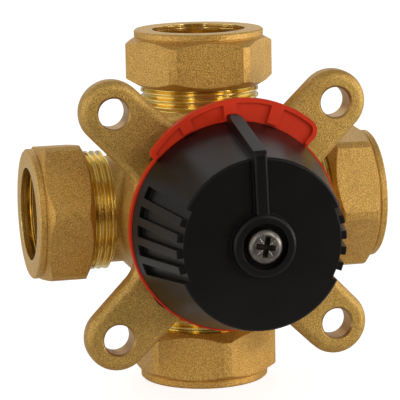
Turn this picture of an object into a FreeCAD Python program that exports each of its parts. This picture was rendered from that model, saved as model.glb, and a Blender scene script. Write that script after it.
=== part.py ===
"""Four-way rotary mixing valve with 28 mm compression ends.

Millimetres, +Z up.  The origin is the centre of the bottom port's mouth, so the
valve stands on its bottom nut at z = 0.  The spindle axis points along -Y, towards
the knob, and crosses both port axes at z = PORT_REACH.

Pieces on the spindle axis are modelled in a dial frame: X to the right, Y up the
dial and Z out towards the knob, with its origin where the port axes cross.  Pieces
on a port are modelled in a port frame: Z out of the port from the same origin.
"""
import FreeCAD
import Part
import math
import os

from FreeCAD import Placement, Rotation, Vector

# ---------------------------------------------------------------- layout
BARREL_DIA = 59.0
PORT_STAND = 24.5          # barrel's wall to the end face of each nut
PORT_REACH = BARREL_DIA / 2 + PORT_STAND
PORT_TURN = {"top": 0.0, "right": 90.0, "bottom": 180.0, "left": 270.0}
KNOB_SWING = 45.0          # travel of the knob each way from mid scale, degrees
DIAL_TURN = 2.0            # the dial and all that turns with it, round from the port axis

# ---------------------------------------------------------------- compression ends
PIPE_OD = 28.0
PIPE_CLEARANCE = 0.1       # radial, pipe in socket
PIPE_INSERTION = 26.0      # nut mouth to pipe stop
THREAD_OD = 36.0           # M36 x 2
THREAD_PITCH = 2.0
THREAD_DEPTH = 1.2
THREAD_CREST = 0.5         # width of the flat on a crest
THREAD_ROOT = 0.35         # width of the flat in a root
THREAD_PLAY = 0.1          # radial, nut on thread
NECK_SHOWN = 1.0           # barrel's wall to the first thread
THREAD_START = BARREL_DIA / 2 + NECK_SHOWN
RINGS_SHOWN = 3            # thread grooves between neck and nut
THREAD_GRIP = 7.5          # length of thread inside the nut
NECK_DIA = 32.4
PORT_BORE = 25.0

# ---------------------------------------------------------------- compression nuts
NUT_LENGTH = 17.0
NUT_FLATS = 40.0
NUT_CORNERS = 44.8         # the hexagon's corners are turned down to this diameter
NUT_CHAMFER = 30.0         # degrees, both ends of the hexagon
NUT_LIP = 0.15             # flat left round the threaded end
COLLAR_DIA = 39.3
COLLAR_LENGTH = 2.5
COLLAR_EDGE = 0.4
COLLAR_NECK = 0.3          # groove between collar and hexagon
THREAD_CHAMFER = 0.5       # end of the body's thread
NUT_RELIEF = 0.1           # radial, first turn of the nut's bore
NUT_TURNS = {"top": 55.3, "right": -22.0, "bottom": 25.7, "left": 37.4}

# ---------------------------------------------------------------- olives
OLIVE_LENGTH = 8.0
OLIVE_WALL = 1.6
OLIVE_FLAT = 2.6           # width of the cylindrical band
OLIVE_PROUD = 0.5          # band to the end of the thread
SEAT_ANGLE = 24.0          # degrees from the port axis, seats and olive alike
SEAT_GAP = 0.3             # radial, olive in its seats before the pipe is made up

# ---------------------------------------------------------------- valve body
BARREL_BACK = 21.0         # port plane to the back face
BARREL_EDGE = 5.0          # rounding of the back edge
CHAMBER_WALL = 7.5
CHAMBER_DIA = BARREL_DIA - 2 * CHAMBER_WALL
CHAMBER_HALF = 14.5        # port plane to the chamber's floor and to the cover
LUG_PCD = 95.0
LUG_HOLE = 9.0
LUG_HOLE_CHAMFER = 0.5
LUG_FACE = 31.2            # port plane to the front of the lugs
LUG_THICKNESS = 8.0
LUG_TIP_R = 9.65
LUG_TAPER = 1.0            # degrees, each side
LUG_EDGE = 2.6
LUG_FLARE_START = 3.0      # outside the barrel, where a lug's side starts to flare
LUG_FLARE_R = 8.0
LUG_FLARE = 52.0           # degrees turned by the flare
FORGED_FILLET = 2.5        # neck to barrel

# ---------------------------------------------------------------- front cover
COVER_STEP = 0.3           # from the barrel's wall in to the cover's flange
COVER_FLANGE_DIA = BARREL_DIA - 2 * COVER_STEP
COVER_FLANGE = 3.5
COVER_FIT = 0.05           # radial, spigot in chamber
COVER_POCKET_WALL = 4.0
COVER_POCKET_DIA = CHAMBER_DIA - 2 * COVER_POCKET_WALL
COVER_WEB = 5.5            # web behind the pocket
COVER_BOSS_DIA = 19.0
COVER_BOSS_TOP = 45.0      # port plane to the end of the spindle boss
POCKET_ROOT = 1.5          # from the spindle boss to the pocket
COVER_EDGE = 0.6
SEAL_SECTION = 1.9         # cover O-ring
SEAL_FLOOR_GAP = 0.03
SEAL_FROM_FLANGE = 3.0
COVER_SCREW_EDGE = 4.0      # screw axis to the barrel's wall
COVER_SCREW_PCD = BARREL_DIA - 2 * COVER_SCREW_EDGE
COVER_SCREW_DIA = 4.0
COVER_SCREW_GRIP = 8.0     # thread in the body
COVER_SCREW_HEAD_DIA = 6.8
COVER_SCREW_HEAD = 2.2
COVER_SCREW_SLOT = 1.0
SCREW_FIT = 0.05           # radial, screw in hole

# ---------------------------------------------------------------- spindle and rotor
SPINDLE_DIA = 10.0
SPINDLE_PLAY = 0.05        # radial, running
SPINDLE_COLLAR_DIA = 16.0
SPINDLE_COLLAR = 2.4
COLLAR_POCKET_PLAY = 0.3
THRUST_WASHER = 1.5
END_PLAY = 0.15
ROTOR_RADIAL_PLAY = 0.07
ROTOR_END_PLAY = 0.2
ROTOR_HUB_DIA = 15.0
ROTOR_VANE = 5.0
ROTOR_TIP_SPAN = 24.0      # degrees of wall that each tip covers
ROTOR_TIP_DEPTH = 3.0
PIVOT_DIA = 8.0
PIVOT_LENGTH = 3.5
TONGUE_THICKNESS = 5.0
TONGUE_WIDTH = 12.0
TONGUE_DEPTH = 6.0
TONGUE_PLAY = 0.05
RING_SECTION = 1.4         # spindle O-rings
RING_FLOOR_GAP = 0.02
RING_POSITIONS = {"inner": 27.5, "outer": 34.5}
GROOVE_PLAY = 0.3
CLIP_THICKNESS = 0.9
CLIP_DIA = 13.0
CLIP_BITE = 0.7            # depth of the clip's groove
CLIP_GAP = 4.0
DRIVE_DIA = 9.0            # end of the spindle inside the knob
DRIVE_FLATS = 7.0
DRIVE_PLAY = 0.05
DRIVE_TOP = 64.6
TAPPED_DEPTH = 12.0

# ---------------------------------------------------------------- scale
CARRIER_DIA = COVER_FLANGE_DIA
CARRIER_LAND = 4.5         # carrier's bore to the screw axis
CARRIER_BORE = COVER_SCREW_PCD - 2 * CARRIER_LAND
CARRIER_THICKNESS = 1.8
CARRIER_LOBE_R = 6.4       # round pads for the screw heads
CARRIER_PROUD = 0.8        # from the barrel's wall out to the carrier's wall
CARRIER_WALL_DIA = BARREL_DIA + 2 * CARRIER_PROUD
CARRIER_WALL = 1.2
STOP_STEP = 0.3            # from the carrier's bore out to the stops
STOP_INNER_R = CARRIER_BORE / 2 + STOP_STEP
STOP_LENGTH = 3.6
STOP_WIDTH = 4.0
STOP_HEIGHT = 6.0
STOP_GAP = 0.3             # left between web and stop at the end of travel
STOP_BEARING = 225.0       # middle of the stops, degrees on the dial
SCALE_FACE = 39.0          # port plane to the face of the scale
SCALE_THICKNESS = 1.6
SCALE_RIM = 1.2            # from the carrier's wall out to the thin rim
SCALE_RIM_DIA = CARRIER_WALL_DIA + 2 * SCALE_RIM
SCALE_SKIRT = 0.6          # lip that locates the ring on its carrier
SKIRT_FIT = 0.05
SCALE_OVER = 1.6           # wide scale's outer arc over the rim's, as radii
SCALE_OUTER_R = SCALE_RIM_DIA / 2 + SCALE_OVER
SCALE_RIGHT = 2.7          # centre of that arc, right of the dial's axis
SCALE_UP = 4.3             # and above it
SCALE_ARC = 93.0           # degrees of wide scale, centred on the dial's top
SCALE_PANELS = 4
SCALE_RAISED = 1.0         # height of rim and ribs above the panels
SCALE_BORDER = 1.3
SCALE_RIB = 3.5
SCALE_CORNER_RIGHT = 3.6
SCALE_CORNER_LEFT = 1.6

# ---------------------------------------------------------------- knob
KNOB_BASE = 39.4           # port plane to the knob's rim
KNOB_FACE = 68.6
KNOB_STEP = 0.65           # from the carrier's wall out to the knob's rim
KNOB_BASE_R = CARRIER_WALL_DIA / 2 + KNOB_STEP
KNOB_FACE_R = 24.7
KNOB_WALL = 2.8
KNOB_ROOF = 3.0
KNOB_EDGE = 0.45
HUB_R = 8.2
HUB_BOTTOM = 47.2
WEB_THICKNESS = 2.4
WEB_BOTTOM = 54.0
STOP_WEB_BOTTOM = 40.2
STOP_WEB_PAST = 4.3        # web past the stops' inner radius
STOP_WEB_REACH = STOP_INNER_R + STOP_WEB_PAST
DIAL_BOSS_DIA = 18.5
DIAL_BOSS_HEIGHT = 3.0
DIAL_BOSS_EDGE = 1.2
COUNTERBORE_DIA = 13.2
COUNTERBORE_FLOOR = 68.9
GRIP_RIBS = 4
GRIP_PITCH = 10.8          # degrees
GRIP_SPAN = 51.0           # degrees, one grip
GRIP_TURN = -4.5           # degrees, middle of the grips from the knob's level
GRIP_RIB = 2.4
GRIP_DEPTH = 1.7
GRIP_BOTTOM = 43.2         # port plane to the closed end of the grooves
POINTER_WIDTH = 3.7
POINTER_HEIGHT = 2.3
POINTER_BEVEL = 0.45
POINTER_TIP_R = 33.6
POINTER_TIP_BOTTOM = 42.5
POINTER_TIP_HEIGHT = 2.2
POINTER_TIP_EDGE = 1.0

# ---------------------------------------------------------------- knob screw, M5
SCREW_DIA = 5.0
SCREW_LENGTH = 14.0
SCREW_HEAD_DIA = 10.4
SCREW_HEAD = 3.4
SCREW_TURN = -10.0         # where the cross comes to rest
SCREW_CROWN = 2.0          # rounding of the pan head
CROSS_WIDTH = 1.7
CROSS_SPAN = 6.4
CROSS_DEPTH = 2.0
CROSS_TAPER = 0.5          # width of the recess at its bottom, as a share

# ---------------------------------------------------------------- derived places
SOCKET_R = PIPE_OD / 2 + PIPE_CLEARANCE
SEAT_SLOPE = math.tan(math.radians(SEAT_ANGLE))
NUT_INNER = PORT_REACH - NUT_LENGTH
STUB_END = NUT_INNER + THREAD_GRIP
OLIVE_R = SOCKET_R + OLIVE_WALL
SEAT_MOUTH_R = OLIVE_R - OLIVE_PROUD * SEAT_SLOPE + SEAT_GAP
SEAT_LENGTH = (SEAT_MOUTH_R - SOCKET_R) / SEAT_SLOPE
OLIVE_MIDDLE = STUB_END + OLIVE_PROUD + OLIVE_FLAT / 2
NUT_SHOULDER = OLIVE_MIDDLE + OLIVE_FLAT / 2 + OLIVE_PROUD
CHAMBER_R = CHAMBER_DIA / 2
COVER_INNER = CHAMBER_HALF
FLANGE_FACE = LUG_FACE + COVER_FLANGE
CARRIER_FACE = FLANGE_FACE + CARRIER_THICKNESS
SCALE_BACK = SCALE_FACE - SCALE_THICKNESS
SCREW_CIRCLE_R = COVER_SCREW_PCD / 2
COLLAR_BOTTOM = COVER_INNER + ROTOR_END_PLAY
WASHER_BOTTOM = COLLAR_BOTTOM + SPINDLE_COLLAR
WASHER_TOP = WASHER_BOTTOM + THRUST_WASHER
POCKET_FLOOR = WASHER_TOP + END_PLAY
CLIP_BOTTOM = COVER_BOSS_TOP + END_PLAY
KNOB_CEILING = KNOB_FACE - KNOB_ROOF
KNOB_SLOPE = (KNOB_BASE_R - KNOB_FACE_R) / (KNOB_FACE - KNOB_BASE)
POINTER_TOP = KNOB_FACE + POINTER_HEIGHT
DIAGONALS = [45.0 + 90.0 * k for k in range(4)]


# ---------------------------------------------------------------- helpers
def turned(outline):
    """Solid of revolution about Z from (radius, height) corners."""
    corners = [Vector(r, 0, h) for r, h in outline]
    face = Part.Face(Part.makePolygon(corners + corners[:1]))
    return face.revolve(Vector(0, 0, 0), Vector(0, 0, 1), 360)


def disc(radius, low, high):
    return Part.makeCylinder(radius, high - low, Vector(0, 0, low))


def ring(outer, inner, low, high):
    return disc(outer, low, high).cut(disc(inner, low, high))


def block(x_low, x_high, width, low, high):
    """Box along X, centred on Y."""
    return Part.makeBox(x_high - x_low, width, high - low, Vector(x_low, -width / 2, low))


def spun(shape, degrees):
    """Copy of a shape turned about Z."""
    copy = shape.copy()
    copy.rotate(Vector(0, 0, 0), Vector(0, 0, 1), degrees)
    return copy


def around(shape, bearings):
    return [spun(shape, bearing) for bearing in bearings]


def fused(shapes):
    return shapes[0].multiFuse(shapes[1:]).removeSplitter() if len(shapes) > 1 else shapes[0]


def torus(middle_r, section, height):
    return Part.makeTorus(middle_r, section / 2, Vector(0, 0, height))


def cone_radius(height):
    """Outer radius of the knob's wall at a height."""
    return KNOB_BASE_R - (height - KNOB_BASE) * KNOB_SLOPE


def on_dial(shape):
    """From the dial frame to the row's frame."""
    moved = shape.copy()
    moved.Placement = Placement(Vector(0, 0, PORT_REACH), Rotation(Vector(1, 0, 0), 90)) * shape.Placement
    return moved


def on_port(shape, name):
    """From the port frame to the row's frame."""
    moved = shape.copy()
    outward = Rotation(Vector(0, 1, 0), PORT_TURN[name])
    moved.Placement = Placement(Vector(0, 0, PORT_REACH), outward) * shape.Placement
    return moved


# ---------------------------------------------------------------- compression ends
def threaded_stub():
    """Neck and thread of one port, as one turned solid."""
    crest_r = THREAD_OD / 2
    root_r = crest_r - THREAD_DEPTH
    neck_r = NECK_DIA / 2
    flank = (THREAD_PITCH - THREAD_CREST - THREAD_ROOT) / 2
    outline = [(0, 0), (neck_r, 0), (neck_r, THREAD_START)]
    height = THREAD_START + flank * (crest_r - neck_r) / THREAD_DEPTH
    for _ in range(RINGS_SHOWN):
        outline.append((crest_r, height))
        outline.append((crest_r, height + THREAD_CREST))
        outline.append((root_r, height + THREAD_CREST + flank))
        outline.append((root_r, height + THREAD_CREST + flank + THREAD_ROOT))
        height += THREAD_PITCH
    outline.append((crest_r, height))
    outline.append((crest_r, STUB_END - THREAD_CHAMFER))
    outline.append((crest_r - THREAD_CHAMFER, STUB_END))
    outline.append((0, STUB_END))
    return turned(outline)


def port_passage():
    """What is bored out of one port: waterway, pipe socket and olive seat."""
    stop = PORT_REACH - PIPE_INSERTION
    beyond = STUB_END + 1
    return turned([
        (0, 0), (PORT_BORE / 2, 0), (PORT_BORE / 2, stop), (SOCKET_R, stop),
        (SOCKET_R, STUB_END - SEAT_LENGTH), (SEAT_MOUTH_R, STUB_END),
        (SEAT_MOUTH_R, beyond), (0, beyond),
    ])


def compression_nut(turn):
    """Hexagon nut with a plain collar, bored for the pipe and seated on the olive."""
    slope = math.tan(math.radians(NUT_CHAMFER))
    bore_r = THREAD_OD / 2 + THREAD_PLAY
    lip_r = bore_r + NUT_LIP
    corner_r = NUT_CORNERS / 2
    collar_r = COLLAR_DIA / 2
    collar_low = PORT_REACH - COLLAR_LENGTH
    envelope = turned([
        (0, NUT_INNER), (lip_r, NUT_INNER),
        (corner_r, NUT_INNER + (corner_r - lip_r) * slope),
        (corner_r, collar_low - (corner_r - collar_r) * slope),
        (collar_r, collar_low), (collar_r - COLLAR_NECK, collar_low + COLLAR_NECK),
        (collar_r, collar_low + 2 * COLLAR_NECK), (collar_r, PORT_REACH - COLLAR_EDGE),
        (collar_r - COLLAR_EDGE, PORT_REACH), (0, PORT_REACH),
    ])
    across = NUT_FLATS / math.cos(math.radians(30)) / 2
    corners = [Vector(across * math.cos(math.radians(60 * k)),
                      across * math.sin(math.radians(60 * k)), 0) for k in range(7)]
    hexagon = Part.Face(Part.makePolygon(corners)).extrude(Vector(0, 0, collar_low))
    collar = disc(collar_r, collar_low, PORT_REACH)
    bore = turned([
        (0, NUT_INNER), (bore_r + NUT_RELIEF, NUT_INNER), (bore_r, NUT_INNER + NUT_RELIEF),
        (bore_r, NUT_SHOULDER), (SEAT_MOUTH_R, NUT_SHOULDER),
        (SOCKET_R, NUT_SHOULDER + SEAT_LENGTH), (SOCKET_R, PORT_REACH), (0, PORT_REACH),
    ])
    return spun(envelope.common(hexagon.fuse(collar)).cut(bore), turn)


def olive():
    """Brass compression ring with a taper at both ends."""
    band = OLIVE_FLAT / 2
    half = OLIVE_LENGTH / 2
    end_r = OLIVE_R - (half - band) * SEAT_SLOPE
    profile = [(SOCKET_R, -half), (end_r, -half), (OLIVE_R, -band),
               (OLIVE_R, band), (end_r, half), (SOCKET_R, half)]
    return turned([(r, OLIVE_MIDDLE + h) for r, h in profile])


# ---------------------------------------------------------------- valve body
def lug():
    """One ear along +X, flared into the barrel and rounded all round, without its hole."""
    sine = math.sin(math.radians(LUG_TAPER))
    cosine = math.cos(math.radians(LUG_TAPER))
    low = LUG_FACE - LUG_THICKNESS
    touch = Vector(LUG_PCD / 2 + LUG_TIP_R * sine, LUG_TIP_R * cosine, low)
    flare_x = BARREL_DIA / 2 + LUG_FLARE_START
    flare = Vector(flare_x, touch.y + (touch.x - flare_x) * sine / cosine, low)
    centre = flare + Vector(LUG_FLARE_R * sine, LUG_FLARE_R * cosine, 0)
    bend = []
    for share in (0.5, 1.0):
        angle = math.radians(LUG_TAPER + LUG_FLARE * share)
        bend.append(centre - Vector(LUG_FLARE_R * math.sin(angle), LUG_FLARE_R * math.cos(angle), 0))
    upper = [touch, flare] + bend
    lower = [Vector(p.x, -p.y, p.z) for p in upper]
    tip = Vector(LUG_PCD / 2 + LUG_TIP_R, 0, low)
    sides = []
    for start, turn, middle, end in (upper, lower):
        sides.append(Part.LineSegment(start, turn).toShape())
        sides.append(Part.Arc(turn, middle, end).toShape())
    root = Part.LineSegment(upper[-1], lower[-1]).toShape()
    outline = Part.Wire(Part.__sortEdges__(sides + [root, Part.Arc(lower[0], tip, upper[0]).toShape()]))
    plate = Part.Face(outline).extrude(Vector(0, 0, LUG_THICKNESS))
    rims = [edge for edge in plate.Edges
            if edge.BoundBox.ZLength < 1e-6 and edge.BoundBox.XLength > 1e-6]
    return plate.makeFillet(LUG_EDGE, rims)


def lug_hole():
    """Lug hole with its chamfers, on +X."""
    radius = LUG_HOLE / 2
    low = LUG_FACE - LUG_THICKNESS
    cutter = turned([
        (0, low), (radius + LUG_HOLE_CHAMFER, low), (radius, low + LUG_HOLE_CHAMFER),
        (radius, LUG_FACE - LUG_HOLE_CHAMFER), (radius + LUG_HOLE_CHAMFER, LUG_FACE), (0, LUG_FACE),
    ])
    cutter.translate(Vector(LUG_PCD / 2, 0, 0))
    return cutter


def valve_body():
    barrel = disc(BARREL_DIA / 2, -BARREL_BACK, LUG_FACE)
    back_edge = [edge for edge in barrel.Edges if edge.BoundBox.ZMax < -BARREL_BACK + 1e-6]
    barrel = barrel.makeFillet(BARREL_EDGE, back_edge)
    stubs = []
    passages = []
    for turn in PORT_TURN.values():
        for made, kept in ((threaded_stub(), stubs), (port_passage(), passages)):
            made.rotate(Vector(0, 0, 0), Vector(1, 0, 0), -90)
            kept.append(spun(made, -turn))
    shell = barrel.multiFuse(stubs)
    joins = [edge for edge in shell.Edges if is_neck_join(edge)]
    shell = shell.makeFillet(FORGED_FILLET, joins)
    shell = fused([shell] + around(lug(), DIAGONALS))
    chamber = disc(CHAMBER_R, -CHAMBER_HALF, LUG_FACE)
    pivot = disc(PIVOT_DIA / 2 + SPINDLE_PLAY, -CHAMBER_HALF - PIVOT_LENGTH - ROTOR_END_PLAY, 0)
    tapped = disc(COVER_SCREW_DIA / 2 + SCREW_FIT, LUG_FACE - COVER_SCREW_GRIP - 1, LUG_FACE)
    tapped.translate(Vector(SCREW_CIRCLE_R, 0, 0))
    cutters = passages + [chamber, pivot] + around(lug_hole(), DIAGONALS) + around(tapped, DIAGONALS)
    return shell.cut(cutters)


def is_neck_join(edge):
    """True for the curve where a neck meets the barrel's wall."""
    middle = edge.valueAt((edge.FirstParameter + edge.LastParameter) / 2)
    start = edge.valueAt(edge.FirstParameter)
    on_barrel = all(abs(math.hypot(p.x, p.y) - BARREL_DIA / 2) < 1e-3 for p in (middle, start))
    within_neck = all(abs(p.z) < NECK_DIA / 2 + 1e-3 for p in (middle, start))
    return on_barrel and within_neck and not isinstance(edge.Curve, (Part.Line, Part.Circle))


# ---------------------------------------------------------------- front cover
def front_cover():
    """Turned cover: spigot in the chamber, flange on the body and spindle boss."""
    spigot_r = CHAMBER_R - COVER_FIT
    flange_r = COVER_FLANGE_DIA / 2
    boss_r = COVER_BOSS_DIA / 2
    pocket_r = COVER_POCKET_DIA / 2
    root_r = boss_r + POCKET_ROOT
    bore_r = SPINDLE_DIA / 2 + SPINDLE_PLAY
    collar_r = SPINDLE_COLLAR_DIA / 2 + COLLAR_POCKET_PLAY
    web_face = POCKET_FLOOR + COVER_WEB
    seal_floor = CHAMBER_R - SEAL_SECTION - 2 * SEAL_FLOOR_GAP
    seal_high = LUG_FACE - SEAL_FROM_FLANGE
    seal_low = seal_high - SEAL_SECTION - GROOVE_PLAY
    cover = turned([
        (collar_r, COVER_INNER), (spigot_r, COVER_INNER),
        (spigot_r, seal_low), (seal_floor, seal_low), (seal_floor, seal_high), (spigot_r, seal_high),
        (spigot_r, LUG_FACE), (flange_r, LUG_FACE),
        (flange_r, FLANGE_FACE - COVER_EDGE), (flange_r - COVER_EDGE, FLANGE_FACE),
        (pocket_r, FLANGE_FACE), (pocket_r, web_face), (root_r, web_face),
        (boss_r, web_face + POCKET_ROOT), (boss_r, COVER_BOSS_TOP - COVER_EDGE),
        (boss_r - COVER_EDGE, COVER_BOSS_TOP), (bore_r, COVER_BOSS_TOP),
        (bore_r, POCKET_FLOOR), (collar_r, POCKET_FLOOR),
    ])
    hole = disc(COVER_SCREW_DIA / 2 + SCREW_FIT, LUG_FACE, FLANGE_FACE)
    hole.translate(Vector(SCREW_CIRCLE_R, 0, 0))
    return cover.cut(around(hole, DIAGONALS))


def cover_o_ring():
    middle_r = CHAMBER_R - SEAL_FLOOR_GAP - SEAL_SECTION / 2
    height = LUG_FACE - SEAL_FROM_FLANGE - (SEAL_SECTION + GROOVE_PLAY) / 2
    return torus(middle_r, SEAL_SECTION, height)


def cover_screws():
    """Four slotted pan-head screws through carrier and cover into the body."""
    head_r = COVER_SCREW_HEAD_DIA / 2
    top = CARRIER_FACE + COVER_SCREW_HEAD
    crown = COVER_SCREW_HEAD / 3
    shank_r = COVER_SCREW_DIA / 2
    screw = turned([
        (0, LUG_FACE - COVER_SCREW_GRIP), (shank_r, LUG_FACE - COVER_SCREW_GRIP),
        (shank_r, CARRIER_FACE), (head_r, CARRIER_FACE), (head_r, top - crown),
        (head_r - crown, top), (0, top),
    ])
    slot = block(-head_r, head_r, COVER_SCREW_SLOT, top - COVER_SCREW_SLOT, top)
    screw = screw.cut(slot)
    screw.translate(Vector(SCREW_CIRCLE_R, 0, 0))
    return Part.makeCompound(around(screw, DIAGONALS))


# ---------------------------------------------------------------- rotor and spindle
def rotor():
    """Vane across the chamber with sealing tips, a hub and a back pivot."""
    low = -CHAMBER_HALF + ROTOR_END_PLAY
    high = COVER_INNER
    tip_r = CHAMBER_R - ROTOR_RADIAL_PLAY
    half_span = math.radians(ROTOR_TIP_SPAN / 2)
    web = block(-tip_r, tip_r, ROTOR_VANE, low, high)
    tip_width = 2 * tip_r * math.sin(half_span)
    tips = block(-tip_r, tip_r, tip_width, low, high).cut(disc(tip_r - ROTOR_TIP_DEPTH, low, high))
    vane = spun(web.fuse(tips).common(disc(tip_r, low, high)), 90)
    hub = disc(ROTOR_HUB_DIA / 2, low, high)
    pivot = disc(PIVOT_DIA / 2, -CHAMBER_HALF - PIVOT_LENGTH, 0)
    slot = block(-TONGUE_WIDTH / 2 - TONGUE_PLAY, TONGUE_WIDTH / 2 + TONGUE_PLAY,
                 TONGUE_THICKNESS + 2 * TONGUE_PLAY, high - TONGUE_DEPTH, high)
    return fused([hub, vane, pivot]).cut(slot)


def spindle():
    """Turned spindle: tongue, collar, seal grooves, clip groove and driving flats."""
    radius = SPINDLE_DIA / 2
    drive_r = DRIVE_DIA / 2
    groove_r = radius - RING_SECTION - RING_FLOOR_GAP + SPINDLE_PLAY / 2
    half_groove = (RING_SECTION + GROOVE_PLAY) / 2
    collar_r = SPINDLE_COLLAR_DIA / 2
    outline = [(0, COLLAR_BOTTOM), (collar_r, COLLAR_BOTTOM), (collar_r, WASHER_BOTTOM),
               (radius, WASHER_BOTTOM)]
    for height in sorted(RING_POSITIONS.values()):
        outline += [(radius, height - half_groove), (groove_r, height - half_groove),
                    (groove_r, height + half_groove), (radius, height + half_groove)]
    clip_top = CLIP_BOTTOM + CLIP_THICKNESS + SPINDLE_PLAY
    outline += [(radius, CLIP_BOTTOM), (radius - CLIP_BITE, CLIP_BOTTOM),
                (radius - CLIP_BITE, clip_top), (radius, clip_top)]
    shoulder = clip_top + CLIP_THICKNESS / 2
    outline += [(radius, shoulder), (drive_r, shoulder), (drive_r, DRIVE_TOP), (0, DRIVE_TOP)]
    shaft = turned(outline)
    flats = block(-drive_r, drive_r, DRIVE_FLATS, shoulder, DRIVE_TOP)
    beyond = disc(radius, shoulder, DRIVE_TOP).cut(flats)
    tongue = block(-TONGUE_WIDTH / 2, TONGUE_WIDTH / 2, TONGUE_THICKNESS,
                   COVER_INNER - TONGUE_DEPTH + ROTOR_END_PLAY, COLLAR_BOTTOM)
    tapped = disc(SCREW_DIA / 2 + SCREW_FIT, DRIVE_TOP - TAPPED_DEPTH, DRIVE_TOP)
    return shaft.cut([beyond, tapped]).fuse(tongue).removeSplitter()


def spindle_o_ring(place):
    middle_r = SPINDLE_DIA / 2 + SPINDLE_PLAY / 2 - RING_SECTION / 2
    return torus(middle_r, RING_SECTION, RING_POSITIONS[place])


def thrust_washer():
    outer = SPINDLE_COLLAR_DIA / 2
    return ring(outer, SPINDLE_DIA / 2 + SPINDLE_PLAY, WASHER_BOTTOM, WASHER_TOP)


def spindle_clip():
    """Open retaining ring in the spindle's groove, above the cover's boss."""
    inner = SPINDLE_DIA / 2 - CLIP_BITE + SPINDLE_PLAY
    clip = ring(CLIP_DIA / 2, inner, CLIP_BOTTOM, CLIP_BOTTOM + CLIP_THICKNESS)
    return clip.cut(block(0, CLIP_DIA, CLIP_GAP, CLIP_BOTTOM, CLIP_BOTTOM + CLIP_THICKNESS))


# ---------------------------------------------------------------- scale
def scale_carrier():
    """Black ring on the cover that holds the scale and stops the knob's travel."""
    base = disc(CARRIER_DIA / 2, FLANGE_FACE, CARRIER_FACE)
    lobe = disc(CARRIER_LOBE_R, FLANGE_FACE, CARRIER_FACE)
    lobe.translate(Vector(SCREW_CIRCLE_R, 0, 0))
    wall_r = CARRIER_WALL_DIA / 2
    wall = ring(wall_r, wall_r - CARRIER_WALL, FLANGE_FACE, SCALE_BACK)
    stop = block(STOP_INNER_R, STOP_INNER_R + STOP_LENGTH, STOP_WIDTH,
                 FLANGE_FACE, CARRIER_FACE + STOP_HEIGHT)
    room = (WEB_THICKNESS + STOP_WIDTH) / 2 + STOP_GAP
    swing = KNOB_SWING + math.degrees(room / STOP_INNER_R)
    middle = STOP_BEARING + DIAL_TURN
    stops = around(stop, (middle - swing, middle + swing))
    carrier = fused([base, wall] + around(lobe, DIAGONALS) + stops)
    hole = disc(COVER_SCREW_DIA / 2 + SCREW_FIT, FLANGE_FACE, CARRIER_FACE)
    hole.translate(Vector(SCREW_CIRCLE_R, 0, 0))
    return carrier.cut([disc(CARRIER_BORE / 2, FLANGE_FACE, CARRIER_FACE)] + around(hole, DIAGONALS))


def sector(inner, outer, low, high, start, end):
    """Piece of a flat ring between two bearings on the dial."""
    corners = []
    for radius, bearings in ((inner, (start, (start + end) / 2, end)),
                             (outer, (end, (start + end) / 2, start))):
        corners.append([Vector(radius * math.cos(math.radians(b)),
                               radius * math.sin(math.radians(b)), low) for b in bearings])
    inside, outside = corners
    outline = Part.Wire([
        Part.Arc(*inside).toShape(), Part.LineSegment(inside[2], outside[0]).toShape(),
        Part.Arc(*outside).toShape(), Part.LineSegment(outside[2], inside[0]).toShape(),
    ])
    return Part.Face(outline).extrude(Vector(0, 0, high - low))


def end_edge(shape, side):
    """The outer corner edge along Z at the right (1) or left (-1) end of a sector."""
    upright = [edge for edge in shape.Edges
               if edge.BoundBox.ZLength > 1e-3 and isinstance(edge.Curve, Part.Line)]
    return [max(upright, key=lambda edge: side * edge.CenterOfMass.x + edge.CenterOfMass.y)]


def scale_arc(inner, trim_r, low, high, start, end):
    """Sector whose outer side follows the wide scale's arc."""
    trim = disc(trim_r, low, high)
    trim.translate(Vector(SCALE_RIGHT, SCALE_UP, 0))
    return sector(inner, trim_r + SCALE_RIGHT + SCALE_UP, low, high, start, end).common(trim)


def scale_ring():
    """Red scale: a thin rim round the knob and a wide arc with recessed panels."""
    rim_r = SCALE_RIM_DIA / 2
    start = 90 - SCALE_ARC / 2
    end = 90 + SCALE_ARC / 2
    face = SCALE_FACE + SCALE_RAISED
    rim = ring(rim_r, CARRIER_WALL_DIA / 2 - CARRIER_WALL, SCALE_BACK, SCALE_FACE)
    skirt = ring(rim_r, CARRIER_WALL_DIA / 2 + SKIRT_FIT, SCALE_BACK - SCALE_SKIRT, SCALE_BACK)
    wide = scale_arc(CARRIER_WALL_DIA / 2, SCALE_OUTER_R, SCALE_BACK, face, start, end)
    wide = wide.makeFillet(SCALE_CORNER_RIGHT, end_edge(wide, 1))
    wide = wide.makeFillet(SCALE_CORNER_LEFT, end_edge(wide, -1))
    span = SCALE_ARC / SCALE_PANELS
    panels = []
    for index in range(SCALE_PANELS):
        outer_r = SCALE_OUTER_R - SCALE_BORDER
        low_side = SCALE_BORDER if index == 0 else SCALE_RIB / 2
        high_side = SCALE_BORDER if index == SCALE_PANELS - 1 else SCALE_RIB / 2
        panel = scale_arc(rim_r, outer_r, SCALE_FACE, face,
                          start + index * span + math.degrees(low_side / outer_r),
                          start + (index + 1) * span - math.degrees(high_side / outer_r))
        if index == 0:
            panel = panel.makeFillet(SCALE_CORNER_RIGHT - SCALE_BORDER, end_edge(panel, 1))
        panels.append(panel)
    clear = disc(rim_r, SCALE_FACE, face)
    return fused([rim, skirt, wide]).cut(panels + [clear])


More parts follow.
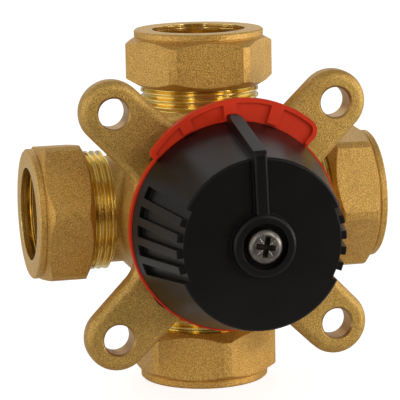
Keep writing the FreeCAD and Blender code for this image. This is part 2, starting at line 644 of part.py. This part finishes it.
# ---------------------------------------------------------------- knob
def knob_shell():
    """Hollow tapered cap with its hub, open at the back."""
    wall = KNOB_WALL / math.cos(math.atan(KNOB_SLOPE))
    return turned([
        (KNOB_BASE_R, KNOB_BASE), (cone_radius(KNOB_FACE - KNOB_EDGE), KNOB_FACE - KNOB_EDGE),
        (KNOB_FACE_R - KNOB_EDGE, KNOB_FACE), (0, KNOB_FACE), (0, HUB_BOTTOM),
        (HUB_R, HUB_BOTTOM), (HUB_R, KNOB_CEILING),
        (cone_radius(KNOB_CEILING) - wall, KNOB_CEILING), (KNOB_BASE_R - wall, KNOB_BASE),
    ])


def grip_band(outward, top):
    """Band under the knob's wall, GRIP_DEPTH deep, from the closed ends up to a height."""
    return turned([
        (cone_radius(GRIP_BOTTOM) + outward, GRIP_BOTTOM),
        (cone_radius(GRIP_BOTTOM) - GRIP_DEPTH, GRIP_BOTTOM),
        (cone_radius(top) - GRIP_DEPTH, top), (cone_radius(top) + outward, top),
    ])


def grip_recess(side):
    """Wall cut back over one grip, open at the knob's face."""
    wedge = sector(KNOB_FACE_R / 2, KNOB_BASE_R + GRIP_DEPTH, GRIP_BOTTOM, KNOB_FACE,
                   side - GRIP_SPAN / 2, side + GRIP_SPAN / 2)
    return grip_band(GRIP_DEPTH, KNOB_FACE).common(wedge)


def grip_ribs(side):
    """Blunt ribs that stand in one grip's recess."""
    band = grip_band(0, KNOB_FACE - KNOB_EDGE)
    inner_r = KNOB_FACE_R - GRIP_DEPTH - KNOB_EDGE
    rib = block(inner_r, KNOB_BASE_R, GRIP_RIB, GRIP_BOTTOM - KNOB_EDGE, KNOB_FACE)
    middle = (GRIP_RIBS - 1) / 2
    bearings = [side + (k - middle) * GRIP_PITCH for k in range(GRIP_RIBS)]
    return [band.common(one) for one in around(rib, bearings)]


def pointer():
    """Raised rib from the boss to the edge, then down the wall to a round tip."""
    shoulder = KNOB_FACE_R + POINTER_HEIGHT
    profile = [
        (DIAL_BOSS_DIA / 2 - 1, POINTER_TOP), (shoulder - POINTER_HEIGHT / 2, POINTER_TOP),
        (shoulder, POINTER_TOP - POINTER_HEIGHT / 2),
        (POINTER_TIP_R, POINTER_TIP_BOTTOM + POINTER_TIP_HEIGHT),
        (POINTER_TIP_R, POINTER_TIP_BOTTOM),
        (cone_radius(POINTER_TIP_BOTTOM) - KNOB_WALL / 2, POINTER_TIP_BOTTOM),
        (KNOB_FACE_R - KNOB_WALL / 2, KNOB_FACE - KNOB_ROOF / 2),
        (DIAL_BOSS_DIA / 2 - 1, KNOB_FACE - KNOB_ROOF / 2),
    ]
    corners = [Vector(x, -POINTER_WIDTH / 2, z) for x, z in profile]
    rib = Part.Face(Part.makePolygon(corners + corners[:1])).extrude(Vector(0, POINTER_WIDTH, 0))
    tip = [e for e in rib.Edges
           if abs(e.CenterOfMass.x - POINTER_TIP_R) < 1e-6 and e.BoundBox.YLength < 1e-6]
    rib = rib.makeFillet(POINTER_TIP_EDGE, tip)
    crown = [e for e in rib.Edges if e.BoundBox.ZLength < 1e-6 and e.BoundBox.YLength < 1e-6
             and abs(e.CenterOfMass.z - POINTER_TOP) < 1e-6]
    return spun(rib.makeChamfer(POINTER_BEVEL, crown), 90)


def knob():
    """Moulded knob: cap, boss, pointer, ribbed grips, hub and inner webs."""
    face_boss = disc(DIAL_BOSS_DIA / 2, KNOB_FACE - KNOB_ROOF / 2, KNOB_FACE + DIAL_BOSS_HEIGHT)
    rim = [e for e in face_boss.Edges if e.BoundBox.ZMin > KNOB_FACE + DIAL_BOSS_HEIGHT - 1e-6]
    face_boss = face_boss.makeFillet(DIAL_BOSS_EDGE, rim)
    sides = (GRIP_TURN, GRIP_TURN + 180)
    solid = knob_shell().cut([grip_recess(side) for side in sides])
    wall_r = cone_radius(KNOB_CEILING) - KNOB_WALL
    web = block(HUB_R - 1, wall_r, WEB_THICKNESS, WEB_BOTTOM, KNOB_CEILING)
    stop_web = block(HUB_R - 1, STOP_WEB_REACH, WEB_THICKNESS, STOP_WEB_BOTTOM, WEB_BOTTOM)
    stop_web = stop_web.fuse(block(HUB_R - 1, wall_r, WEB_THICKNESS, WEB_BOTTOM, KNOB_CEILING))
    stop_web = stop_web.cut(disc(STOP_INNER_R - STOP_GAP, STOP_WEB_BOTTOM, HUB_BOTTOM))
    webs = around(web, [b for b in DIAGONALS if b != STOP_BEARING]) + [spun(stop_web, STOP_BEARING)]
    ribs = [rib for side in sides for rib in grip_ribs(side)]
    solid = fused([solid, face_boss, pointer()] + ribs + webs)
    drive_r = DRIVE_DIA / 2 + DRIVE_PLAY
    socket_top = DRIVE_TOP + DRIVE_PLAY
    drive = disc(drive_r, HUB_BOTTOM, socket_top)
    drive = drive.common(block(-drive_r, drive_r, DRIVE_FLATS + 2 * DRIVE_PLAY, HUB_BOTTOM, socket_top))
    passage = disc(SCREW_DIA / 2 + SCREW_FIT, socket_top, COUNTERBORE_FLOOR)
    counterbore = disc(COUNTERBORE_DIA / 2, COUNTERBORE_FLOOR, KNOB_FACE + DIAL_BOSS_HEIGHT)
    return solid.cut([drive, passage, counterbore])


def knob_screw():
    """Pan-head screw with a cross recess."""
    head_r = SCREW_HEAD_DIA / 2
    top = COUNTERBORE_FLOOR + SCREW_HEAD
    head = disc(head_r, COUNTERBORE_FLOOR, top)
    head = head.makeFillet(SCREW_CROWN, [e for e in head.Edges if e.BoundBox.ZMin > top - 1e-6])
    arm = cross_arm(top)
    shank = disc(SCREW_DIA / 2, COUNTERBORE_FLOOR - SCREW_LENGTH, COUNTERBORE_FLOOR)
    return head.cut([arm, spun(arm, 90)]).fuse(shank).removeSplitter()


def cross_arm(top):
    """One slot of the recess, narrower and shorter at its bottom."""
    sections = []
    for height, share in ((top - CROSS_DEPTH, CROSS_TAPER), (top, 1.0)):
        x = CROSS_SPAN / 2 * share
        y = CROSS_WIDTH / 2 * (1 + share) / 2
        corners = [Vector(-x, -y, height), Vector(x, -y, height),
                   Vector(x, y, height), Vector(-x, y, height)]
        sections.append(Part.makePolygon(corners + corners[:1]))
    return Part.makeLoft(sections, True)


# ---------------------------------------------------------------- build
def build():
    dial_pieces = {
        "valve_body": valve_body(),
        "front_cover": front_cover(),
        "cover_o_ring": cover_o_ring(),
        "cover_screws": cover_screws(),
        "scale_carrier": scale_carrier(),
        "scale_ring": spun(scale_ring(), DIAL_TURN),
        "rotor": spun(rotor(), DIAL_TURN),
        "spindle": spun(spindle(), DIAL_TURN),
        "spindle_o_ring_inner": spindle_o_ring("inner"),
        "spindle_o_ring_outer": spindle_o_ring("outer"),
        "thrust_washer": thrust_washer(),
        "spindle_clip": spindle_clip(),
        "knob": spun(knob(), DIAL_TURN),
        "knob_screw": spun(knob_screw(), SCREW_TURN),
    }
    pieces = {name: on_dial(shape) for name, shape in dial_pieces.items()}
    for name in PORT_TURN:
        pieces["olive_" + name] = on_port(olive(), name)
        pieces["nut_" + name] = on_port(compression_nut(NUT_TURNS[name]), name)
    return pieces


os.makedirs("parts", exist_ok=True)
for node, solid in build().items():
    solid.exportStep("parts/" + node + ".step")
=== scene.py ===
import math

import bpy
from mathutils import Matrix, Vector


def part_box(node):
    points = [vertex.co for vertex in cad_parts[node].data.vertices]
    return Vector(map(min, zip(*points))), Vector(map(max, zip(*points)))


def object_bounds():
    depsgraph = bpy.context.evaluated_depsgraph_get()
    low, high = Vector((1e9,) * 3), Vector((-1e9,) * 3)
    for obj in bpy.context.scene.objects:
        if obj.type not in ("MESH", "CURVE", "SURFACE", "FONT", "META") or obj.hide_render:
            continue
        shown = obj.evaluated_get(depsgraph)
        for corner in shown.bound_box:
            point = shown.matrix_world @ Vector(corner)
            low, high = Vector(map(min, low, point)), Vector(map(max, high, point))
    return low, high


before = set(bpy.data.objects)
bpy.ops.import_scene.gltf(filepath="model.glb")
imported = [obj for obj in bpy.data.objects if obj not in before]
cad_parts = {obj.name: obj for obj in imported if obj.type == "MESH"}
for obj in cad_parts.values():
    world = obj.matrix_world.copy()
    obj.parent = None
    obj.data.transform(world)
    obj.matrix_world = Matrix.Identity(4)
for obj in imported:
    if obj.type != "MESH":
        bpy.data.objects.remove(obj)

cad_low, cad_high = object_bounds()
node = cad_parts
PORTS = {"top": (0, 0, 1), "right": (1, 0, 0), "bottom": (0, 0, -1), "left": (-1, 0, 0)}

# the port axes and the spindle axis cross here
CROSSING = Vector((0, 0, (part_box("nut_top")[1].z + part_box("nut_bottom")[0].z) / 2))
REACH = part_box("nut_top")[1].z - CROSSING.z


# ---------------------------------------------------------------- finishes
class Amount:
    """A value that changes over a surface; arithmetic on it adds Math nodes."""

    def __init__(self, finish, socket):
        self.finish = finish
        self.socket = socket

    def math(self, operation, *others, clamp=False):
        settings = {"operation": operation, "use_clamp": clamp}
        return self.finish.add("ShaderNodeMath", settings, dict(enumerate((self,) + others)))

    def reflected(self, operation, other):
        return self.finish.add("ShaderNodeMath", {"operation": operation}, {0: other, 1: self})

    def __add__(self, other):
        return self.math("ADD", other)

    __radd__ = __add__

    def __sub__(self, other):
        return self.math("SUBTRACT", other)

    def __rsub__(self, other):
        return self.reflected("SUBTRACT", other)

    def __mul__(self, other):
        return self.math("MULTIPLY", other)

    __rmul__ = __mul__

    def __pow__(self, other):
        return self.math("POWER", other)

    def __abs__(self):
        return self.math("ABSOLUTE")

    def __or__(self, other):
        return self.math("MAXIMUM", other)

    def __and__(self, other):
        return self.math("MINIMUM", other)

    def clipped(self):
        return self.math("ADD", 0.0, clamp=True)

    def rising(self, start, end):
        """0 below start, 1 above end, smooth between."""
        settings = {"interpolation_type": "SMOOTHSTEP"}
        values = {"Value": self, "From Min": start, "From Max": end}
        return self.finish.add("ShaderNodeMapRange", settings, values, "Result")

    def falling(self, start, end):
        return 1.0 - self.rising(start, end)


class Finish:
    """A material on the Principled shader, built from named values."""

    def __init__(self, name, **shader):
        self.material = bpy.data.materials.new(name)
        self.material.use_nodes = True
        self.tree = self.material.node_tree
        self.shader = self.tree.nodes["Principled BSDF"]
        for key, value in shader.items():
            self.paint(key, value)
        self.place = self.add("ShaderNodeTexCoord", {}, {}, "Object")
        split = self.add("ShaderNodeSeparateXYZ", {}, {"Vector": self.place}, "X").socket.node
        self.x, self.y, self.z = (Amount(self, socket) for socket in split.outputs)

    def add(self, kind, settings, values, output=0):
        """Any node: its settings, then its sockets' values or links, by name or position."""
        made = self.tree.nodes.new(kind)
        for key, value in settings.items():
            setattr(made, key, value)
        for key, value in values.items():
            self.feed(self.found(made.inputs, key), value)
        return Amount(self, self.found(made.outputs, output))

    @staticmethod
    def found(sockets, key):
        if isinstance(key, int):
            return sockets[key]
        named = [s for s in sockets if key in (s.identifier, s.name)]
        shown = [s for s in named if s.enabled]
        return (shown or named)[0]

    def feed(self, socket, value):
        if isinstance(value, Amount):
            self.tree.links.new(value.socket, socket)
        else:
            socket.default_value = value

    def paint(self, key, value):
        """Gives the Principled shader a constant or a varying value."""
        socket = self.shader.inputs[key.replace("_", " ")]
        if isinstance(value, tuple) and len(value) == 3:
            value = value + (1.0,)
        self.feed(socket, value)

    def noise(self, size, detail=2.0, rough=0.5, place=None):
        """Even noise with features of about the given size in metres."""
        values = {"Vector": place or self.place, "Scale": 1.0 / size}
        values.update({"Detail": detail, "Roughness": rough})
        return self.add("ShaderNodeTexNoise", {}, values, "Fac")

    def stretched(self, x, y, z):
        """Object coordinates with each axis scaled."""
        values = {0: self.place, 1: (x, y, z)}
        return self.add("ShaderNodeVectorMath", {"operation": "MULTIPLY"}, values, "Vector")

    def combined(self, **axes):
        """Vector made of one value per named axis."""
        return self.add("ShaderNodeCombineXYZ", {}, axes, "Vector")

    def mixed(self, share, first, second):
        """Colour between two colours."""
        values = {"Factor_Float": share}
        for key, colour in (("A_Color", first), ("B_Color", second)):
            values[key] = colour if isinstance(colour, Amount) else tuple(colour) + (1.0,)
        return self.add("ShaderNodeMix", {"data_type": "RGBA"}, values, "Result_Color")

    def bumped(self, height, depth, strength=1.0, under=None):
        values = {"Height": height, "Distance": depth, "Strength": strength}
        if under is not None:
            values["Normal"] = under
        return self.add("ShaderNodeBump", {}, values, "Normal")

    def worn_edge(self, radius):
        """Normal that rounds sharp edges by a small radius."""
        return self.add("ShaderNodeBevel", {"samples": 4}, {"Radius": radius}, "Normal")


def round_axis(first, second):
    """Distance from an axis, from the two coordinates across it."""
    return (first * first + second * second) ** 0.5


BLASTED_SHEEN = {"Metallic": 1.0, "Coat_Weight": 0.30, "Coat_Roughness": 0.4}
BLAST_GRAIN = 0.00034
BLAST_DEPTH = 0.00009
BLAST_EDGE = 0.0004

# distances from the crossing or from an axis; each pair is where a bright surface fades out
THREAD_START = (0.0301, 0.0303)
THREAD_CREST = (0.0182, 0.0184)
BORE_WALL = (0.01425, 0.0144)
BORE_START = (0.018, 0.0182)
LUG_HOLE_OUT = 0.0475 * math.sqrt(0.5)
LUG_HOLE_WALL = (0.00505, 0.00515)
LUG_BACK = (0.02, 0.0202)
NUT_THREAD_WALL = (0.0184, 0.0186)
NUT_BORE_WALL = (0.0142, 0.0144)
NUT_MOUTH = (REACH - 0.00022, REACH - 0.0002)
NUT_END_FACE = (REACH - 0.00012, REACH - 0.0001)


def blasted_and_machined(name):
    """Sandblasted forged brass whose threads, bores and seats are turned bright."""
    brass = Finish(name, **BLASTED_SHEEN)
    height = brass.z - CROSSING.z
    along = abs(brass.x) | abs(height)
    radius = round_axis(abs(brass.x) & abs(height), brass.y)
    threaded = along.rising(*THREAD_START) * radius.falling(*THREAD_CREST)
    bored = radius.falling(*BORE_WALL) * along.rising(*BORE_START)
    from_hole = round_axis(abs(brass.x) - LUG_HOLE_OUT, abs(height) - LUG_HOLE_OUT)
    drilled = from_hole.falling(*LUG_HOLE_WALL) * (0 - brass.y).rising(*LUG_BACK)
    machined = (threaded | bored | drilled).clipped()
    grain = brass.noise(BLAST_GRAIN, 2.0, 0.55)
    skin = brass.noise(0.0032, 3.0, 0.6)
    stain = brass.noise(0.014, 4.0, 0.6)
    turned_rings = brass.noise(0.00016, 1.0, 0.5, brass.combined(X=along))
    colour = brass.mixed(grain.rising(0.3, 0.72), (0.38, 0.218, 0.043), (0.84, 0.545, 0.152))
    colour = brass.mixed(stain.rising(0.35, 0.75) * 0.35, colour, (0.36, 0.195, 0.036))
    bright = brass.mixed(skin, (0.76, 0.55, 0.15), (0.84, 0.64, 0.20))
    bright = brass.mixed(drilled, bright, (0.54, 0.31, 0.09))
    brass.paint("Base Color", brass.mixed(machined, colour, bright))
    blasted_rough = (0.45 + grain * 0.22) * (1 - machined)
    machined_rough = (0.15 + skin * 0.07 + drilled * 0.22) * machined
    brass.paint("Roughness", blasted_rough + machined_rough)
    relief = (grain * 1.4 + skin * 0.9) * (1 - machined) + turned_rings * machined * 0.25
    brass.paint("Normal", brass.bumped(relief, BLAST_DEPTH, 1.0, brass.worn_edge(BLAST_EDGE)))
    return brass.material


def nut_brass(name, axis):
    """Sandblasted nut with a bright bore and end face."""
    brass = Finish(name, **BLASTED_SHEEN)
    height = brass.z - CROSSING.z
    if axis[0]:
        along, radius = brass.x * axis[0], round_axis(height, brass.y)
    else:
        along, radius = height * axis[2], round_axis(brass.x, brass.y)
    thread_bore = radius.falling(*NUT_THREAD_WALL) * along.falling(*NUT_MOUTH)
    machined = (thread_bore | radius.falling(*NUT_BORE_WALL)).clipped()
    face = along.rising(*NUT_END_FACE)
    grain = brass.noise(BLAST_GRAIN, 2.0, 0.55)
    skin = brass.noise(0.0028, 3.0, 0.6)
    stain = brass.noise(0.012, 4.0, 0.6)
    rings = brass.noise(0.00022, 1.0, 0.5, brass.combined(X=radius * 0.2, Y=along))
    colour = brass.mixed(grain.rising(0.3, 0.72), (0.43, 0.238, 0.047), (0.93, 0.58, 0.158))
    colour = brass.mixed(stain.rising(0.35, 0.75) * 0.25, colour, (0.38, 0.205, 0.038))
    bright = brass.mixed(skin, (0.88, 0.62, 0.20), (0.95, 0.71, 0.26))
    colour = brass.mixed(machined, colour, bright)
    brass.paint("Base Color", brass.mixed(face * 0.15, colour, bright))
    rough = (0.45 + grain * 0.2) * (1 - machined) + machined * (0.15 + skin * 0.07)
    brass.paint("Roughness", rough - face * 0.03)
    relief = (grain * 1.4 + skin * 0.6) * (1 - machined) + rings * machined * 0.4
    brass.paint("Normal", brass.bumped(relief, BLAST_DEPTH, 1.0, brass.worn_edge(BLAST_EDGE)))
    return brass.material


def turned_brass(name):
    """Bright turned brass of the inner pieces."""
    brass = Finish(name, Metallic=1.0)
    skin = brass.noise(0.003, 3.0, 0.6)
    rings = brass.noise(0.0002, 1.0, 0.5, brass.stretched(0.02, 1, 0.02))
    brass.paint("Base Color", brass.mixed(skin, (0.84, 0.58, 0.18), (0.92, 0.68, 0.25)))
    brass.paint("Roughness", 0.18 + skin * 0.12)
    brass.paint("Normal", brass.bumped(rings, 0.00002, 1.0, brass.worn_edge(0.0002)))
    return brass.material


def moulded_plastic(name, dark, light, rough, edge, **shader):
    """Moulded plastic with the fine spark-eroded texture of its mould."""
    plastic = Finish(name, **shader)
    texture = plastic.noise(0.00028, 2.0, 0.5)
    cloud = plastic.noise(0.011, 3.0, 0.55)
    plastic.paint("Base Color", plastic.mixed(cloud, dark, light))
    plastic.paint("Roughness", rough + texture * 0.10 + cloud * 0.08)
    plastic.paint("Normal", plastic.bumped(texture, 0.00003, 0.8, plastic.worn_edge(edge)))
    return plastic.material


def plated_steel(name):
    """Bright zinc-plated steel with fine turning marks."""
    steel = Finish(name, Metallic=1.0)
    cloud = steel.noise(0.0018, 4.0, 0.6)
    fine = steel.noise(0.00012, 2.0, 0.5)
    plate = steel.mixed(cloud.rising(0.35, 0.7), (0.50, 0.455, 0.40), (0.66, 0.62, 0.56))
    steel.paint("Base Color", plate)
    steel.paint("Roughness", 0.24 + cloud * 0.16)
    steel.paint("Normal", steel.bumped(fine + cloud, 0.00002, 1.0, steel.worn_edge(0.0002)))
    return steel.material


RECESS_RADIUS = (0.0033, 0.0034)
RECESS_DEPTH = (0.00025, 0.0006)
MARK_WIDTH = (0.00006, 0.00016)
MARK_REACH = (0.0030, 0.0034)


def cross_screw(name, piece, turn):
    """Pan-head screw: its cross recess painted near black as painted shade, with thin radial
    marks between its arms painted bright as a painted highlight.
    """
    low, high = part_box(piece)
    steel = Finish(name, Metallic=1.0)
    x = steel.x - (low.x + high.x) / 2
    z = steel.z - (low.z + high.z) / 2
    cosine, sine = math.cos(math.radians(turn)), math.sin(math.radians(turn))
    across, up = x * cosine + z * sine, z * cosine - x * sine
    radius = round_axis(across, up)
    depth = steel.y - low.y
    # mask of the cross recess, where painted shade goes
    shaded_recess = radius.falling(*RECESS_RADIUS) * depth.rising(*RECESS_DEPTH)
    off_mark = abs(abs(across) - abs(up))
    # the radial marks are real grooves; their near-white colour is a painted highlight
    mark_highlight = off_mark.falling(*MARK_WIDTH) * radius.falling(*MARK_REACH) * (1 - shaded_recess)
    cloud = steel.noise(0.0016, 4.0, 0.6)
    fine = steel.noise(0.00012, 2.0, 0.5)
    plate = steel.mixed(cloud.rising(0.3, 0.7), (0.15, 0.132, 0.112), (0.26, 0.236, 0.204))
    # painted highlight along the radial marks
    plate = steel.mixed(mark_highlight, plate, (0.85, 0.80, 0.72))
    # painted shade: the cross recess is mixed almost to black
    steel.paint("Base Color", steel.mixed(shaded_recess * 0.93, plate, (0.035, 0.026, 0.018)))
    steel.paint("Roughness", 0.27 + cloud * 0.16 + shaded_recess * 0.3 - mark_highlight * 0.12)
    relief = fine * 0.00001 + cloud * 0.00003 - mark_highlight * 0.00006
    steel.paint("Normal", steel.bumped(relief, 1.0, 1.0, steel.worn_edge(0.0002)))
    return steel.material


def seal_rubber(name):
    """Dull black rubber."""
    rubber = Finish(name)
    cloud = rubber.noise(0.0015, 3.0, 0.6)
    rubber.paint("Base Color", rubber.mixed(cloud, (0.012, 0.012, 0.012), (0.03, 0.03, 0.03)))
    rubber.paint("Roughness", 0.45 + cloud * 0.2)
    return rubber.material


def dress(piece, material):
    """Puts one material on every slot of a piece."""
    for slot in piece.material_slots:
        slot.material = material
    if not piece.material_slots:
        piece.data.materials.append(material)


BODY_BRASS = blasted_and_machined("forged_brass")
TURNED = turned_brass("turned_brass")
KNOB_BLACK = moulded_plastic(
    "black_plastic", dark=(0.0030, 0.0024, 0.0022), light=(0.0050, 0.0042, 0.0038),
    rough=0.25, edge=0.0004, Specular_IOR_Level=0.23)
SCALE_RED = moulded_plastic(
    "red_plastic", dark=(0.62, 0.026, 0.003), light=(0.69, 0.034, 0.004),
    rough=0.34, edge=0.0003, Specular_IOR_Level=0.22)
WASHER_WHITE = moulded_plastic(
    "white_plastic", dark=(0.78, 0.77, 0.73), light=(0.84, 0.83, 0.80), rough=0.35, edge=0.0002)
STEEL = plated_steel("steel")
SCREW = cross_screw("screw_steel", "knob_screw", turn=-10.0)
RUBBER = seal_rubber("seal_rubber")

FINISHES = {
    "valve_body": BODY_BRASS, "front_cover": TURNED, "rotor": TURNED,
    "cover_o_ring": RUBBER, "spindle_o_ring_inner": RUBBER, "spindle_o_ring_outer": RUBBER,
    "cover_screws": STEEL, "spindle": STEEL, "spindle_clip": STEEL, "knob_screw": SCREW,
    "scale_carrier": KNOB_BLACK, "knob": KNOB_BLACK, "scale_ring": SCALE_RED,
    "thrust_washer": WASHER_WHITE,
}
for name, axis in PORTS.items():
    FINISHES["olive_" + name] = TURNED
    FINISHES["nut_" + name] = nut_brass("nut_brass_" + name, axis)
for name, material in FINISHES.items():
    dress(node[name], material)


# ---------------------------------------------------------------- studio
WHITE = (1.0, 1.0, 1.0)


def sheet(name, corners, colour, rough=0.6, glow=0.0):
    """Flat studio surface from its corners."""
    mesh = bpy.data.meshes.new(name)
    mesh.from_pydata(corners, [], [tuple(range(len(corners)))])
    made = bpy.data.objects.new(name, mesh)
    bpy.context.scene.collection.objects.link(made)
    paper = Finish(name + "_paper", Roughness=rough, Emission_Color=WHITE, Emission_Strength=glow)
    tone = paper.noise(0.4, 2.0, 0.5)
    darker = tuple(channel * 0.985 for channel in colour)
    paper.paint("Base Color", paper.mixed(tone, darker, colour))
    mesh.materials.append(paper.material)
    return made


UNLIT_SIGHTS = ("diffuse", "transmission", "shadow", "volume_scatter")


def hidden_from(piece, *sights):
    """Takes a studio surface out of the given kinds of ray."""
    for sight in sights:
        setattr(piece, "visible_" + sight, False)


def level(height, reach=6.0):
    """Corners of a square floor."""
    corners = ((-reach, -reach), (reach, -reach), (reach, reach), (-reach, reach))
    return [(x, y, height) for x, y in corners]


# the glowing floor is what the camera sees; a plain one just under it lights the part
UNDER_GAP = 0.0005
shown_floor = sheet("floor", level(cad_low.z), (0.42, 0.42, 0.42), glow=0.80)
hidden_from(shown_floor, "glossy", *UNLIT_SIGHTS)
under_floor = sheet("floor_under", level(cad_low.z - UNDER_GAP), (0.90, 0.90, 0.895))
hidden_from(under_floor, "camera")


def flag(name, corners):
    """Dark card that only reflections see, for the unlit room round the camera."""
    made = sheet(name, corners, (0.035, 0.028, 0.022), 0.9)
    hidden_from(made, "camera", *UNLIT_SIGHTS)


ROOM_FOOT = [(-0.50, -1.0, 0.002), (0.66, -1.0, 0.002)]
flag("room_ahead", ROOM_FOOT + [(0.66, -1.0, 0.32), (-0.50, -1.0, 0.32)])
flag("room_below", ROOM_FOOT + [(0.14, -0.20, 0.002), (-0.11, -0.20, 0.002)])


def card(name, corners, glow):
    """Faintly glowing card that only reflections see."""
    made = sheet(name, corners, (0.5, 0.5, 0.5), 0.6, glow)
    hidden_from(made, "camera", *UNLIT_SIGHTS)


CARD_CORNERS = [(-0.20, -0.19, 0.001), (0.20, -0.19, 0.001),
                (0.16, -0.06, 0.001), (-0.16, -0.06, 0.001)]
card("card_below", CARD_CORNERS, glow=0.15)


WARM_LIGHT = (1.0, 0.985, 0.96)


def softbox(name, place, size, power):
    """Area light aimed at the crossing."""
    lamp = bpy.data.lights.new(name, "AREA")
    lamp.shape = "RECTANGLE"
    lamp.size, lamp.size_y = size
    lamp.energy = power
    lamp.color = WARM_LIGHT
    made = bpy.data.objects.new(name, lamp)
    bpy.context.scene.collection.objects.link(made)
    made.location = place
    made.rotation_euler = (CROSSING - Vector(place)).to_track_quat("-Z", "Y").to_euler()


softbox("back", (0.1, 1.2, 0.8), (1.6, 0.8), 2.4)
softbox("side_right", (1.1, 0.1, 0.35), (0.8, 0.6), 2.2)
softbox("side_left", (-1.1, 0.1, 0.35), (0.8, 0.6), 2.4)
softbox("strip_right", (0.5, -0.85, 0.45), (0.12, 0.6), 1.75)
softbox("strip_left", (-0.55, -0.9, 0.45), (0.12, 0.6), 1.3)
softbox("low_right", (0.9, -0.55, 0.08), (0.5, 0.14), 2.5)
softbox("low_left", (-0.9, -0.55, 0.08), (0.5, 0.14), 0.5)

world = bpy.data.worlds.new("studio_air")
bpy.context.scene.world = world
world.use_nodes = True
air = world.node_tree.nodes["Background"]
air.inputs["Color"].default_value = (1.0, 1.0, 1.0, 1.0)
air.inputs["Strength"].default_value = 0.42
bpy.context.scene.view_settings.view_transform = "Standard"


# ---------------------------------------------------------------- camera
CAMERA_OFFSET = Vector((-0.1715, -0.6700, 0.12834))
TARGET_OFFSET = Vector((-0.00043, 0, 0.00091))
ROLL_DEG = -1.03
LENS_MM = 205.4


def look_from(place, target, roll, lens):
    """Camera at a place, aimed at a target and tilted about its own line of sight."""
    forward = (target - place).normalized()
    right = forward.cross(Vector((0, 0, 1))).normalized()
    up = right.cross(forward)
    tilt = math.radians(roll)
    across = right * math.cos(tilt) + up * math.sin(tilt)
    upward = up * math.cos(tilt) - right * math.sin(tilt)
    camera = bpy.data.objects.new("camera", bpy.data.cameras.new("camera"))
    bpy.context.scene.collection.objects.link(camera)
    turned = Matrix((across, upward, -forward)).transposed().to_4x4()
    camera.matrix_world = Matrix.Translation(place) @ turned
    camera.data.lens = lens
    camera.data.clip_start = 0.05
    camera.data.clip_end = 30.0
    bpy.context.scene.camera = camera


look_from(CROSSING + CAMERA_OFFSET, CROSSING + TARGET_OFFSET, ROLL_DEG, LENS_MM)
